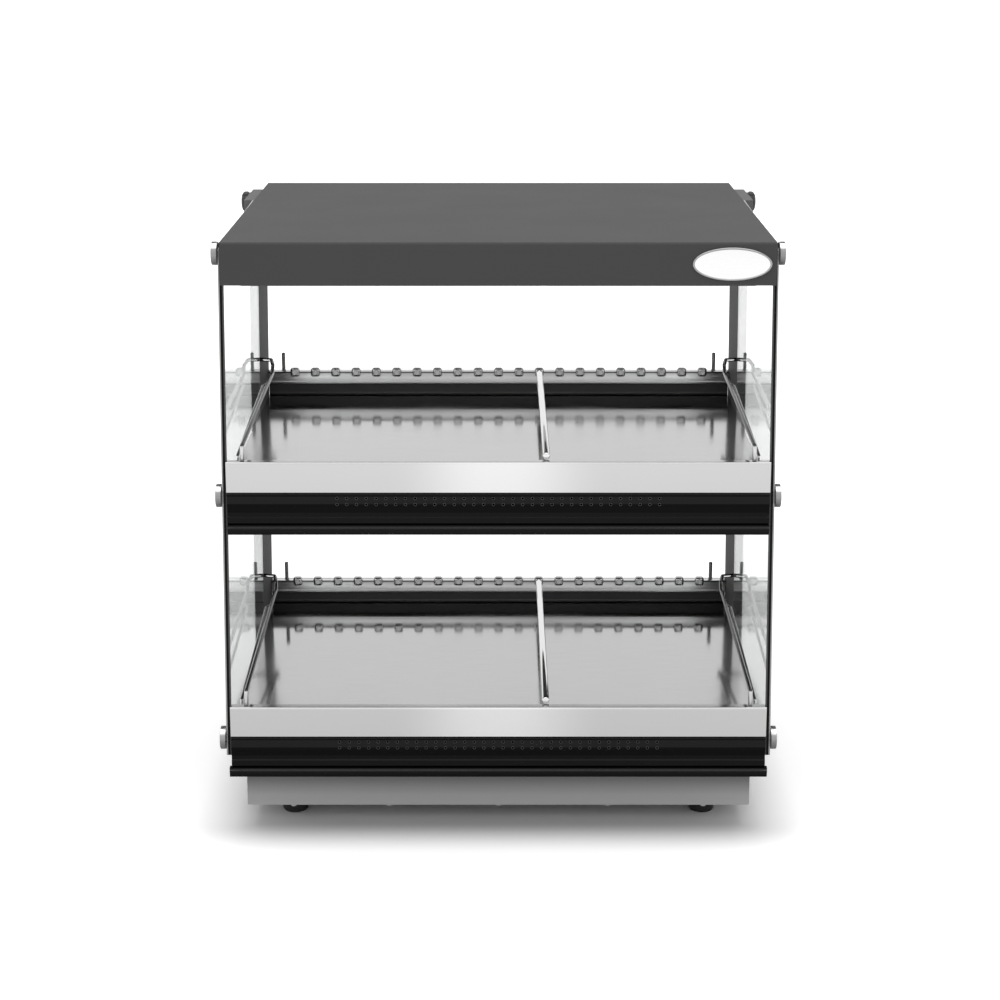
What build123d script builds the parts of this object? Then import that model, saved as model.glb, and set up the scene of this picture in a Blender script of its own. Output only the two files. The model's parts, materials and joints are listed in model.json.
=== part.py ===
from build123d import *
import os
from math import cos, radians, sin, tan

# Heated display case, open at the front. Millimetres, X to the right, Y to the rear, Z up.
# The origin is on the floor, under the middle of the case's overall box.

# Overall sizes
case_depth = 537.0
case_height = 652.0
lean_angle = 5.6
loose_gap = 0.3
running_gap = 0.05
cut_past = 1.0

# Glass sides
pane_spacing = 576.0
pane_thickness = 6.0
pane_depth = 329.2
pane_bottom = 91.5
pane_setback = 8.0
pane_corner = 8.0

# Glass fixings
stud_diameter = 6.0
stud_hole = 9.0
stud_reach_in = 12.0
boss_half = 8.0
washer_thickness = 0.6
cap_diameter = 25.0
cap_thickness = 6.2
cap_chamfer = 0.8
cap_setback = 15.0
cap_drop_canopy = 14.5
cap_drop_shelf = 41.5
knob_diameter = 25.0
knob_length = 11.2
knob_nose = (4.0, 3.0)
knob_stud_share = 0.6
knob_setback = 16.5
knob_flutes = 8
flute_diameter = 5.0
flute_bite = 0.9
flute_start = 3.0

# Canopy
canopy_setback = 1.5
canopy_lip = 45.4
canopy_sheet = 1.5
canopy_lap = 2.5
canopy_bend = 2.2
frame_height = 40.0
frame_flange = 22.0
frame_sheet = 1.2
frame_setback = 4.0
liner_side_gap = 17.7
liner_sheet = 1.0
liner_bend = 1.2
hanger_sheet = 1.2
hanger_inset = 1.0
hanger_foot = 12.0
hanger_end_gap = 12.0
liner_front_gap = 8.0
liner_rear_gap = 14.0
liner_drop = 2.2
liner_rim = 16.0
window_side_margin = 35.0
lamp_window_depth = 66.0
lamp_row = 90.0
lamp_diameter = 16.0
lamp_lift = 3.0
holder_grip = 12.0
holder_wall = 3.0
holder_end = 6.0
lens_thickness = 3.0
lens_margin = 10.0
heater_window_depth = 150.0
heater_row = 290.0
element_diameter = 8.0
element_overhang = 15.0
element_spacing = 64.0
element_lift = 12.0
bracket_sheet = 2.0
bracket_gap = 3.0
bracket_margin = 14.0
bracket_rise = 9.0
guard_wire = 2.5
guard_pitch = 25.0
guard_side = 1.5
guard_reach = 5.0
badge_width = 83.0
badge_height = 35.0
badge_thickness = 2.0
badge_rim = 1.2
badge_recess = 0.5
badge_x = 244.0

# Rear posts
post_width = 16.0
post_depth = 100.0
post_wall = 1.5

# Shelves
lower_lip_top = 157.0
shelf_spacing = 265.0
shelf_depth = 434.0
shelf_clearance = 0.3
tray_sheet = 1.2
tray_bend = 1.4
lip_height = 33.0
lip_width = 12.0
floor_drop = 27.0
channel_height = 47.0
channel_wall = 4.5
channel_depth = 20.0
flange_top = 36.2
flange_overhang = 2.5
vent_diameter = 2.4
vent_pitch = 10.36
vent_count = 34
vent_first_row = 7.0
vent_row_gap = 6.4
panel_sheet = 1.2
heater_thickness = 3.0
heater_side_margin = 32.7
heater_depth = 350.0
heater_setback = 40.0
board_thickness = 18.0

# Rack, dividers and guards
rail_top = 5.0
rail_height = 15.5
rail_thickness = 10.0
socket_size = 11.5
socket_pitch = 25.4
socket_count = 21
socket_depth = 9.0
socket_proud = 4.0
tenon_diameter = 6.0
tenon_length = 7.0
rod_diameter = 8.0
rod_column = 2
rod_rest = 3.0
rod_nose = 1.5
pin_diameter = 4.5
pin_height = 23.0
pin_x = 268.4
guard_diameter = 4.6
guard_x = 270.9
guard_foot = 7.0
guard_rise = 18.5
guard_tilt = 3.8
guard_hook = 14.8
guard_bend = 4.0
hook_gap = 16.0
hook_setback = 4.5
side_wire_x = 279.5
side_wire_diameter = 3.6
side_wire_foot = 17.0
side_wire_foot_x = 277.0
side_wire_rise = 5.0
side_wire_gap = 55.0
side_wire_run = 12.0

# Controls on the rear wall of each shelf
dial_x = 190.0
dial_diameter = 36.0
dial_length = 18.0
dial_skirt = 4.0
grip_diameter = 26.0
grip_rounding = 1.5
pointer_width = 6.0
pointer_inset = 2.0
pointer_proud = 1.5
dial_shaft = 6.0
shaft_hole = 10.0
dial_bore_depth = 13.0
control_drop = 54.0
thermostat_width = 34.0
thermostat_depth = 24.0
switch_x = 110.0
switch_width = 12.8
switch_height = 19.0
switch_rim = 3.0
switch_rim_proud = 1.8
switch_depth = 20.0
switch_case_wall = 1.5
switch_back_wall = 3.0
rocker_radius = 9.2
rocker_width = 12.0
rocker_tilt = 8.0
rocker_proud = 1.6
rocker_face = 5.52
rocker_back = 5.06
rocker_dish = 1.2
lamp_x = 150.0
pilot_diameter = 10.0
pilot_length = 18.0
pilot_lens_diameter = 13.0
pilot_lens_height = 4.0
pilot_rounding = 2.0

# Plinth and feet
plinth_half_width = 277.5
plinth_front = 45.0
plinth_rear = 8.0
plinth_bottom = 25.0
plinth_sheet = 1.5
plinth_corner = 2.0
outer_screw_inset = 50.5
inner_screw_x = 121.0
screw_head_diameter = 7.0
screw_head_height = 2.2
screw_head_rounding = 1.2
screw_diameter = 3.6
screw_length = 8.0
screw_inset = 7.0
foot_diameter = 29.0
foot_chamfer = 1.5
foot_side_inset = 48.5
foot_inset = 48.0
foot_screw_diameter = 6.0
foot_screw_length = 18.0
foot_nut_diameter = 10.8
foot_nut_height = 5.0
inlet_width = 28.0
inlet_height = 20.0
inlet_depth = 26.0
inlet_side_flange = 5.0
inlet_top_flange = 3.0
inlet_proud = 2.5
inlet_wall = 2.5
inlet_floor = 4.0
inlet_inset = 87.5
inlet_pin_width = 2.0
inlet_pin_height = 4.0
inlet_pin_spread = 7.0
inlet_pin_step = 2.0
inlet_pin_recess = 4.0
block_width = 60.0
block_depth = 22.0
block_height = 18.0
block_setback = 70.0
terminal_count = 5
terminal_pitch = 11.5
terminal_bore = 4.5
terminal_row_gap = 10.0
terminal_floor = 6.0

# Places that follow from the sizes above
lean = tan(radians(lean_angle))
case_front = -case_depth / 2
canopy_front = case_front + (case_height - lower_lip_top) * lean + canopy_setback
canopy_rear = case_depth / 2
canopy_top_inside = case_height - canopy_sheet
canopy_under = case_height - canopy_lip
pane_inside = pane_spacing / 2
pane_outside = pane_inside + pane_thickness
shelf_half_width = pane_inside - shelf_clearance
post_outer = pane_inside + post_width
shelf_height = lip_height + channel_height
liner_half = shelf_half_width - liner_side_gap
window_half = liner_half - window_side_margin
heater_half = shelf_half_width - heater_side_margin
outer_screw_x = plinth_half_width - outer_screw_inset
screw_columns = (-outer_screw_x, -inner_screw_x, 0.0, inner_screw_x, outer_screw_x)
foot_x = plinth_half_width - foot_side_inset
inlet_x = inlet_inset - plinth_half_width
shelf_names = ("lower", "upper")
shelf_lip_tops = (lower_lip_top, lower_lip_top + shelf_spacing)
sides = (("left", -1), ("right", 1))


def lean_line(z):
    """Y of the leaning line that the shelf fronts lie on, at height z."""
    return case_front + (z - lower_lip_top) * lean


def block(x0, x1, y0, y1, z0, z1):
    """A box between two corners."""
    return Pos((x0 + x1) / 2, (y0 + y1) / 2, (z0 + z1) / 2) * Box(x1 - x0, y1 - y0, z1 - z0)


def prism(outline, x0, x1):
    """An outline of (y, z) points, extruded along X."""
    face = make_face(Polyline(*outline, close=True))
    return extrude(Plane.YZ.offset(x0) * face, amount=x1 - x0)


def bent_sheet(centreline, thickness, bend, x0, x1):
    """A sheet folded along (y, z) points, extruded along X."""
    profile = trace(FilletPolyline(*centreline, radius=bend), thickness)
    return extrude(Plane.YZ.offset(x0) * profile, amount=x1 - x0)


def cylinder_x(x0, x1, y, z, diameter):
    return Pos((x0 + x1) / 2, y, z) * Rot(0, 90, 0) * Cylinder(diameter / 2, x1 - x0)


def cylinder_y(x, y0, y1, z, diameter):
    return Pos(x, (y0 + y1) / 2, z) * Rot(90, 0, 0) * Cylinder(diameter / 2, y1 - y0)


def cylinder_z(x, y, z0, z1, diameter):
    return Pos(x, y, (z0 + z1) / 2) * Cylinder(diameter / 2, z1 - z0)


def bent_wire(points, bend, diameter):
    """A round wire along points in space, with its corners rounded."""
    path = FilletPolyline(*points, radius=bend)
    section = Plane(origin=path @ 0, z_dir=path % 0) * Circle(diameter / 2)
    return sweep(section, path=path)


def straight_wire(start, end, diameter):
    path = Line(start, end)
    section = Plane(origin=path @ 0, z_dir=path % 0) * Circle(diameter / 2)
    return sweep(section, path=path)


def mirrored_x(shape):
    return mirror(shape, about=Plane.YZ)


def save(shape, name):
    export_step(shape, f"parts/{name}.step")


def save_group(shapes, name):
    """Several loose solids that share one node."""
    save(Compound(children=[solid for shape in shapes for solid in shape.solids()]), name)


def fixing_places():
    """(y, z) of the front fixings through each pane, from the top down."""
    heights = [case_height - cap_drop_canopy]
    heights += [lip_top - cap_drop_shelf for lip_top in reversed(shelf_lip_tops)]
    return [(lean_line(z) + pane_setback + cap_setback, z) for z in heights]


def knob_place():
    """(y, z) of the rear knob's axis, on the rear post."""
    z = case_height - cap_drop_canopy
    return post_front(z) + post_depth - knob_setback, z


# Glass

def side_pane(sign):
    top = canopy_top_inside - loose_gap
    y_bottom = lean_line(pane_bottom) + pane_setback
    y_top = lean_line(top) + pane_setback
    corners = [(y_bottom, pane_bottom), (y_bottom + pane_depth, pane_bottom)]
    corners += [(y_top + pane_depth, top), (y_top, top)]
    face = make_face(Polyline(*corners, close=True))
    front_corners = face.vertices().sort_by(Axis.Y)[:2]
    face = fillet(front_corners, radius=pane_corner)
    pane = extrude(Plane.YZ.offset(pane_inside) * face, amount=pane_thickness)
    for y, z in fixing_places():
        pane -= cylinder_x(pane_inside - cut_past, pane_outside + cut_past, y, z, stud_hole)
    return pane if sign > 0 else mirrored_x(pane)


def fixing_cap(y, z):
    start = pane_outside + washer_thickness
    cap = cylinder_x(start, start + cap_thickness, y, z, cap_diameter)
    rim = cap.edges().filter_by(GeomType.CIRCLE).sort_by(Axis.X)[-1]
    cap = chamfer(rim, cap_chamfer)
    return cap - cylinder_x(start - cut_past, start + cap_thickness / 2, y, z, stud_diameter)


def fixing_stud(y, z, end):
    return cylinder_x(pane_inside - stud_reach_in, end, y, z, stud_diameter)


def fixing_washer(y, z, x0):
    washer = cylinder_x(x0, x0 + washer_thickness, y, z, cap_diameter - 2 * cap_chamfer)
    return washer - cylinder_x(x0 - cut_past, x0 + washer_thickness + cut_past, y, z, stud_hole)


def cap_stud_end():
    return pane_outside + washer_thickness + cap_thickness / 2


def knob_stud_end():
    return post_outer + washer_thickness + knob_length * knob_stud_share


def rear_knob(sign):
    """Fluted clamping knob that turns on its stud."""
    y, z = knob_place()
    start = post_outer + washer_thickness + loose_gap
    end = start + knob_length
    knob = cylinder_x(start, end, y, z, knob_diameter)
    outer = knob.edges().filter_by(GeomType.CIRCLE).sort_by(Axis.X)[-1]
    knob = chamfer(outer, *knob_nose)
    ring = (knob_diameter + flute_diameter) / 2 - flute_bite
    for index in range(knob_flutes):
        turn = radians(360 * index / knob_flutes)
        flute_y, flute_z = y + ring * cos(turn), z + ring * sin(turn)
        knob -= cylinder_x(start + flute_start, end + cut_past, flute_y, flute_z, flute_diameter)
    bore = stud_diameter + 2 * running_gap
    knob -= cylinder_x(start - cut_past, knob_stud_end() + loose_gap, y, z, bore)
    return knob if sign > 0 else mirrored_x(knob)


# Canopy

def canopy_cover():
    half = canopy_sheet / 2
    front = canopy_front + half
    rear = canopy_rear - half
    top = case_height - half
    line = [(front, canopy_under), (front, top), (rear, top), (rear, canopy_under)]
    width = pane_inside + canopy_lap
    return bent_sheet(line, canopy_sheet, canopy_bend, -width, width)


def canopy_side_frame(sign):
    """Channel under the top sheet, which the studs of pane and post screw into."""
    outer = shelf_half_width
    inner = outer - frame_flange
    y0 = canopy_front + frame_setback
    y1 = canopy_rear - frame_setback
    top = canopy_top_inside
    bottom = top - frame_height
    frame = block(outer - frame_sheet, outer, y0, y1, bottom, top)
    frame += block(inner, outer - frame_sheet, y0, y1, top - frame_sheet, top)
    for y, z in [fixing_places()[0], knob_place()]:
        y0, y1 = y - boss_half, y + boss_half
        frame += block(outer - stud_reach_in, outer - frame_sheet, y0, y1, z - boss_half, z + boss_half)
        frame -= cylinder_x(outer - stud_reach_in - cut_past, outer + cut_past, y, z, stud_diameter)
    return frame if sign > 0 else mirrored_x(frame)


def liner_bottom():
    return canopy_under - liner_drop


def canopy_liner():
    """Bright pan that closes the canopy from below, with a lamp and a heater window."""
    half = liner_sheet / 2
    y0 = canopy_front + liner_front_gap + half
    y1 = canopy_rear - liner_rear_gap - half
    low = liner_bottom() + half
    line = [(y0, low + liner_rim), (y0, low), (y1, low), (y1, low + liner_rim)]
    liner = bent_sheet(line, liner_sheet, liner_bend, -liner_half, liner_half)
    for depth, row in ((lamp_window_depth, lamp_row), (heater_window_depth, heater_row)):
        y = canopy_front + row
        y_near, y_far = y - depth / 2, y + depth / 2
        liner -= block(-window_half, window_half, y_near, y_far, low - liner_sheet, low + liner_sheet)
    return liner


def liner_hangers():
    """Z-shaped strips that hang the liner from the side frames."""
    low = liner_bottom() + liner_sheet
    top = canopy_top_inside - frame_sheet
    y0 = canopy_front + liner_front_gap + hanger_end_gap
    y1 = canopy_rear - liner_rear_gap - hanger_end_gap
    outer = liner_half - hanger_inset
    inner = outer - hanger_sheet
    strip = block(inner, outer, y0, y1, low, top)
    strip += block(inner - hanger_foot, inner, y0, y1, low, low + hanger_sheet)
    flange_end = shelf_half_width - frame_sheet - hanger_inset
    strip += block(outer, flange_end, y0, y1, top - hanger_sheet, top)
    return [strip, mirrored_x(strip)]


def lamp_axis():
    lens_top = liner_bottom() + liner_sheet + lens_thickness
    return canopy_front + lamp_row, lens_top + lamp_lift + lamp_diameter / 2


def lamp_lens():
    y = canopy_front + lamp_row
    low = liner_bottom() + liner_sheet
    x = window_half + lens_margin
    lens_half = lamp_window_depth / 2 + lens_margin
    return block(-x, x, y - lens_half, y + lens_half, low, low + lens_thickness)


def lamp_tube():
    y, z = lamp_axis()
    return cylinder_x(-window_half, window_half, y, z, lamp_diameter)


def lamp_holders():
    y, z = lamp_axis()
    low = liner_bottom() + liner_sheet + lens_thickness
    half = lamp_diameter / 2 + holder_wall
    start = window_half - holder_grip
    holder = block(start, window_half + holder_end, y - half, y + half, low, z + half)
    holder -= cylinder_x(start - cut_past, window_half, y, z, lamp_diameter)
    return [holder, mirrored_x(holder)]


def element_rows():
    y = canopy_front + heater_row
    return (y - element_spacing / 2, y + element_spacing / 2)


def element_height():
    return liner_bottom() + liner_sheet + guard_wire + element_lift


def heating_elements():
    half = window_half + element_overhang
    return [cylinder_x(-half, half, y, element_height(), element_diameter) for y in element_rows()]


def element_brackets():
    """Plates that stand on the liner and carry both elements."""
    brackets = []
    low = liner_bottom() + liner_sheet
    rows = element_rows()
    x = window_half + bracket_gap
    for sign in (-1, 1):
        x0, x1 = sorted((sign * x, sign * (x + bracket_sheet)))
        y0, y1 = rows[0] - bracket_margin, rows[1] + bracket_margin
        plate = block(x0, x1, y0, y1, low, element_height() + bracket_rise)
        for y in rows:
            plate -= cylinder_x(x0 - cut_past, x1 + cut_past, y, element_height(), element_diameter)
        brackets.append(plate)
    return brackets


def element_guard():
    """Wire grid over the heater window."""
    y = canopy_front + heater_row
    low = liner_bottom() + liner_sheet + guard_wire / 2
    reach = heater_window_depth / 2 + guard_reach
    side = window_half - guard_side
    grid = cylinder_y(0, y - reach, y + reach, low, guard_wire)
    grid += [cylinder_y(x, y - reach, y + reach, low, guard_wire) for x in (-side, side)]
    count = int(heater_window_depth // guard_pitch)
    rows = [y + (index - count / 2) * guard_pitch for index in range(count + 1)]
    return grid + [cylinder_x(-side - guard_wire, side + guard_wire, row, low, guard_wire) for row in rows]


def badge_plate():
    """Blank oval plate on the canopy's lip."""
    z = canopy_under + canopy_lip / 2
    front = Plane(origin=(badge_x, canopy_front, z), x_dir=(1, 0, 0), z_dir=(0, -1, 0))
    plate = extrude(front * Ellipse(badge_width / 2, badge_height / 2), amount=badge_thickness)
    field = Ellipse(badge_width / 2 - badge_rim, badge_height / 2 - badge_rim)
    face = front.offset(badge_thickness) * field
    return plate - extrude(face, amount=-badge_recess)


# Posts

def post_front(z):
    """Y of the posts' leaning front face, which the panes end at."""
    return lean_line(z) + pane_setback + pane_depth + loose_gap


def post_outline(wall, z0, z1):
    """(y, z) corners of a leaning post between two heights, inside a wall."""
    low, high = post_front(z0) + wall, post_front(z1) + wall
    depth = post_depth - 2 * wall
    return [(low, z0), (low + depth, z0), (high + depth, z1), (high, z1)]


def rear_post(sign):
    """Box section behind the pane, from the lower shelf's bottom to the canopy's top sheet."""
    top = canopy_top_inside - loose_gap
    low = shelf_lip_tops[0] - shelf_height
    post = prism(post_outline(0, low, top), pane_inside, post_outer)
    hollow = post_outline(post_wall, low - cut_past, top - post_wall)
    post -= prism(hollow, pane_inside + post_wall, post_outer - post_wall)
    y, z = knob_place()
    post -= cylinder_x(pane_inside - cut_past, post_outer + cut_past, y, z, stud_hole)
    return post if sign > 0 else mirrored_x(post)


# Shelves

def tray(y, z):
    """Lip and floor, folded from one sheet."""
    half = tray_sheet / 2
    floor = z - floor_drop - half
    inner = y + lip_width - half
    line = [(y + half, z - lip_height), (y + half, z - half), (inner, z - half)]
    line += [(inner, floor), (y + shelf_depth, floor)]
    return bent_sheet(line, tray_sheet, tray_bend, -shelf_half_width, shelf_half_width)


def channel_outline(y, z):
    """Ribbed section of the black extrusion, z at its top."""
    back = y + channel_depth
    inner = y + channel_wall + 1.5
    low = z - channel_height
    groove = z - flange_top
    points = [(back, z), (y + 1.4, z), (y + 1.4, z - 1.6), (y + 0.4, z - 2.2), (y + 0.4, z - 3.4)]
    points += [(y + 1.4, z - 4.2), (y + 2.4, z - 4.6), (y + 0.9, z - 15.5), (y + 2.8, z - 16.2)]
    points += [(y + 2.8, z - 27.0), (y + 1.4, z - 28.2), (y + 1.0, z - 34.2), (y + 4.4, z - 34.6)]
    points += [(y + 4.4, groove), (y + 1.0, groove - 0.4), (y + 1.0, groove - 2.6), (y, groove - 3.2)]
    points += [(y, groove - 4.8), (y + 0.8, groove - 5.4), (y + 1.4, low), (back, low)]
    points += [(back, low + 2), (inner, low + 2), (inner, z - 2), (back, z - 2)]
    return points


def front_channel(y, z, overhang):
    """Extrusion under the lip. On the lowest shelf its bottom flange runs out below the glass."""
    channel = prism(channel_outline(y, z), -shelf_half_width, shelf_half_width)
    if overhang:
        low = z - channel_height
        reach = shelf_half_width + overhang
        flange = prism(channel_outline(y, z), -reach, reach)
        behind = y + channel_depth + cut_past
        flange &= block(-reach, reach, y - cut_past, behind, low - cut_past, z - flange_top)
        channel += flange
    columns = [(index - (vent_count - 1) / 2) * vent_pitch for index in range(vent_count)]
    levels = (z - vent_first_row, z - vent_first_row - vent_row_gap)
    places = [(x, level) for level in levels for x in columns]
    inside = y + 2 * channel_wall
    vents = [cylinder_y(x, y - cut_past, inside, level, vent_diameter) for x, level in places]
    return channel - vents


def end_panels(y, z):
    """Side walls of the shelf's housing, which take the pane's studs."""
    outer = shelf_half_width
    low = z - shelf_height
    top = z - floor_drop - tray_sheet
    panel = block(outer - panel_sheet, outer, y + channel_depth, y + shelf_depth, low, top)
    stud_z = z - cap_drop_shelf
    stud_y = lean_line(stud_z) + pane_setback + cap_setback
    boss_end = stud_y + boss_half
    x_in = outer - stud_reach_in
    z0, z1 = stud_z - boss_half, stud_z + boss_half
    panel += block(x_in, outer - panel_sheet, y + channel_depth, boss_end, z0, z1)
    panel -= cylinder_x(x_in - cut_past, outer + cut_past, stud_y, stud_z, stud_diameter)
    return [panel, mirrored_x(panel)]


def bottom_pan(y, z):
    low = z - shelf_height
    half = shelf_half_width - panel_sheet
    return block(-half, half, y + channel_depth, y + shelf_depth, low, low + panel_sheet)


def heater_layer(y, top, thickness):
    front = y + heater_setback
    return block(-heater_half, heater_half, front, front + heater_depth, top - thickness, top)


def heater_plate(y, z):
    return heater_layer(y, z - floor_drop - tray_sheet, heater_thickness)


def insulation_board(y, z):
    return heater_layer(y, z - floor_drop - tray_sheet - heater_thickness, board_thickness)


def rear_wall(y, z):
    """Black sheet behind the shelf, with the openings for the controls."""
    front = y + shelf_depth
    low = z - shelf_height
    wall = block(-shelf_half_width, shelf_half_width, front, front + panel_sheet, low, z + rail_top)
    level = z - control_drop
    near, far = front - cut_past, front + panel_sheet + cut_past
    wall -= cylinder_y(dial_x, near, far, level, shaft_hole)
    wall -= cylinder_y(lamp_x, near, far, level, pilot_diameter)
    half_width = switch_width / 2 + switch_case_wall
    half_height = switch_height / 2 + switch_case_wall
    x0, x1 = switch_x - half_width, switch_x + half_width
    return wall - block(x0, x1, near, far, level - half_height, level + half_height)


def socket_height(z):
    return z + loose_gap + rod_diameter / 2


def rear_rack(y, z):
    """Silver rail with a row of sockets for the divider rods."""
    rear = y + shelf_depth
    front = rear - rail_thickness
    rack = block(-shelf_half_width, shelf_half_width, front, rear, z + rail_top - rail_height, z + rail_top)
    level = socket_height(z)
    half = socket_size / 2
    y0 = front - socket_proud
    columns = [(index - (socket_count - 1) / 2) * socket_pitch for index in range(socket_count)]
    rack += [block(x - half, x + half, y0, y0 + socket_depth, level - half, level + half) for x in columns]
    bore = tenon_diameter + 2 * running_gap
    y1 = y0 + tenon_length + loose_gap
    return rack - [cylinder_y(x, y0 - cut_past, y1, level, bore) for x in columns]


def rack_pins(y, z):
    rail_middle = y + shelf_depth - rail_thickness / 2
    top = z + rail_top + pin_height
    return [cylinder_z(sign * pin_x, rail_middle, z + rail_top, top, pin_diameter) for sign in (-1, 1)]


def divider_rod(y, z):
    """Chrome rod that lies on the lip in front and plugs into a rack socket behind."""
    x = rod_column * socket_pitch
    level = socket_height(z)
    front = y + lip_width - rod_rest
    shoulder = y + shelf_depth - rail_thickness - socket_proud - loose_gap
    rod = cylinder_y(x, front, shoulder, level, rod_diameter)
    tip = rod.edges().filter_by(GeomType.CIRCLE).sort_by(Axis.Y)[0]
    rod = fillet(tip, rod_nose)
    tenon_end = shoulder + loose_gap + tenon_length
    return rod + cylinder_y(x, shoulder - cut_past, tenon_end, level, tenon_diameter)


def side_guard(y, z, sign):
    """Wire guard beside the glass: a foot on the lip, a long rail and a hook onto the post."""
    foot_y = y + guard_foot
    top = z + guard_rise
    rear_top = top + guard_tilt
    hook_top = rear_top + guard_hook
    hook_y = post_front(rear_top) - hook_gap
    seat_y = post_front(hook_top) + hook_setback
    points = [(guard_x, foot_y, z), (guard_x, foot_y, top), (guard_x, hook_y, rear_top)]
    points += [(guard_x, hook_y, hook_top), (guard_x, seat_y, hook_top), (pane_inside, seat_y, hook_top)]
    guard = bent_wire(points, guard_bend, guard_diameter)
    guard += side_wire(y, z, hook_y, rear_top)
    return guard if sign > 0 else mirrored_x(guard)


def side_wire(y, z, hook_y, rear_top):
    """Thinner wire between the guard's rail and the glass, with a leg on the floor."""
    leg_y = y + side_wire_foot
    turn_y = hook_y - side_wire_gap
    points = [(side_wire_foot_x, leg_y, z - floor_drop), (side_wire_foot_x, leg_y, z + side_wire_rise)]
    points += [(side_wire_x, turn_y, rear_top), (guard_x, turn_y + side_wire_run, rear_top)]
    return bent_wire(points, guard_bend, side_wire_diameter)


# Controls

def control_place(y, z):
    """Outer face of the rear wall and the height of the controls."""
    return y + shelf_depth + panel_sheet, z - control_drop


def thermostat(y, z):
    face, level = control_place(y, z)
    half = thermostat_width / 2
    inner = face - panel_sheet
    body = block(dial_x - half, dial_x + half, inner - thermostat_depth, inner, level - half, level + half)
    return body + cylinder_y(dial_x, inner - cut_past, face + dial_bore_depth - cut_past, level, dial_shaft)


def thermostat_dial(y, z):
    """Knob with a pointer rib that turns on the thermostat's shaft."""
    face, level = control_place(y, z)
    start = face + loose_gap
    skirt_end, grip_end = start + dial_skirt, start + dial_length
    dial = cylinder_y(dial_x, start, skirt_end, level, dial_diameter)
    grip = cylinder_y(dial_x, skirt_end, grip_end, level, grip_diameter)
    dial += fillet(grip.edges().filter_by(GeomType.CIRCLE).sort_by(Axis.Y)[-1], grip_rounding)
    half, reach = pointer_width / 2, dial_diameter / 2 - pointer_inset
    root = skirt_end - cut_past
    pointer_end = grip_end + pointer_proud
    dial += block(dial_x - half, dial_x + half, root, pointer_end, level - reach, level + reach)
    bore = dial_shaft + 2 * running_gap
    return dial - cylinder_y(dial_x, start - cut_past, face + dial_bore_depth, level, bore)


def pilot_lamp(y, z):
    face, level = control_place(y, z)
    body = cylinder_y(lamp_x, face - pilot_length, face, level, pilot_diameter)
    lens = cylinder_y(lamp_x, face, face + pilot_lens_height, level, pilot_lens_diameter)
    lens = fillet(lens.edges().filter_by(GeomType.CIRCLE).sort_by(Axis.Y)[-1], pilot_rounding)
    return body + lens


def switch_body(y, z):
    """Frame and case of the rocker switch, hollow for the rocker."""
    face, level = control_place(y, z)
    x0, x1 = switch_x - switch_width / 2, switch_x + switch_width / 2
    z0, z1 = level - switch_height / 2, level + switch_height / 2
    back, front = face - switch_depth, face + switch_rim_proud
    wall, rim = switch_case_wall, switch_rim
    body = block(x0 - wall, x1 + wall, back, face, z0 - wall, z1 + wall)
    body += block(x0 - rim, x1 + rim, face, front, z0 - rim, z1 + rim)
    return body - block(x0, x1, back + switch_back_wall, front + cut_past, z0, z1)


def rocker_axis(y, z):
    face, level = control_place(y, z)
    return face + switch_rim_proud + rocker_proud - rocker_face, level


def switch_rocker(y, z):
    """Rocker with a shallow V face, tipped to its off side."""
    axis_y, level = rocker_axis(y, z)
    half = rocker_width / 2
    drum = cylinder_x(switch_x - half, switch_x + half, axis_y, level, 2 * rocker_radius)
    edge, low = axis_y + rocker_face, axis_y - rocker_back
    reach = rocker_radius + cut_past
    outline = [(low, level - reach), (edge, level - reach), (edge - rocker_dish, level)]
    outline += [(edge, level + reach), (low, level + reach)]
    rocker = drum & prism(outline, switch_x - half, switch_x + half)
    turned = Pos(0, axis_y, level) * Rot(rocker_tilt, 0, 0) * Pos(0, -axis_y, -level)
    return turned * rocker


# Base

def plinth_box():
    """Y of the plinth's front and rear faces, and the height of its top."""
    return case_front + plinth_front, case_front + shelf_depth - plinth_rear, lower_lip_top - shelf_height


def base_plinth():
    front, rear, top = plinth_box()
    low = plinth_bottom
    outer = block(-plinth_half_width, plinth_half_width, front, rear, low, top)
    uprights = outer.edges().filter_by(Axis.Z)
    outer = fillet(uprights, plinth_corner)
    wall = plinth_sheet
    half = plinth_half_width - wall
    inner = block(-half, half, front + wall, rear - wall, low + wall, top + cut_past)
    skirt = outer - inner
    skirt -= inlet_opening(rear)
    for x, y in foot_places():
        skirt -= cylinder_z(x, y, low - cut_past, low + wall + cut_past, foot_screw_diameter)
    for x in screw_columns:
        skirt -= cylinder_z(x, front + screw_inset, low - cut_past, low + wall + cut_past, screw_diameter)
    return skirt


def inlet_level():
    return (plinth_bottom + lower_lip_top - shelf_height) / 2


def inlet_opening(rear):
    level = inlet_level()
    x0, x1 = inlet_x - inlet_width / 2, inlet_x + inlet_width / 2
    z0, z1 = level - inlet_height / 2, level + inlet_height / 2
    return block(x0, x1, rear - plinth_sheet - cut_past, rear + cut_past, z0, z1)


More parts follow.
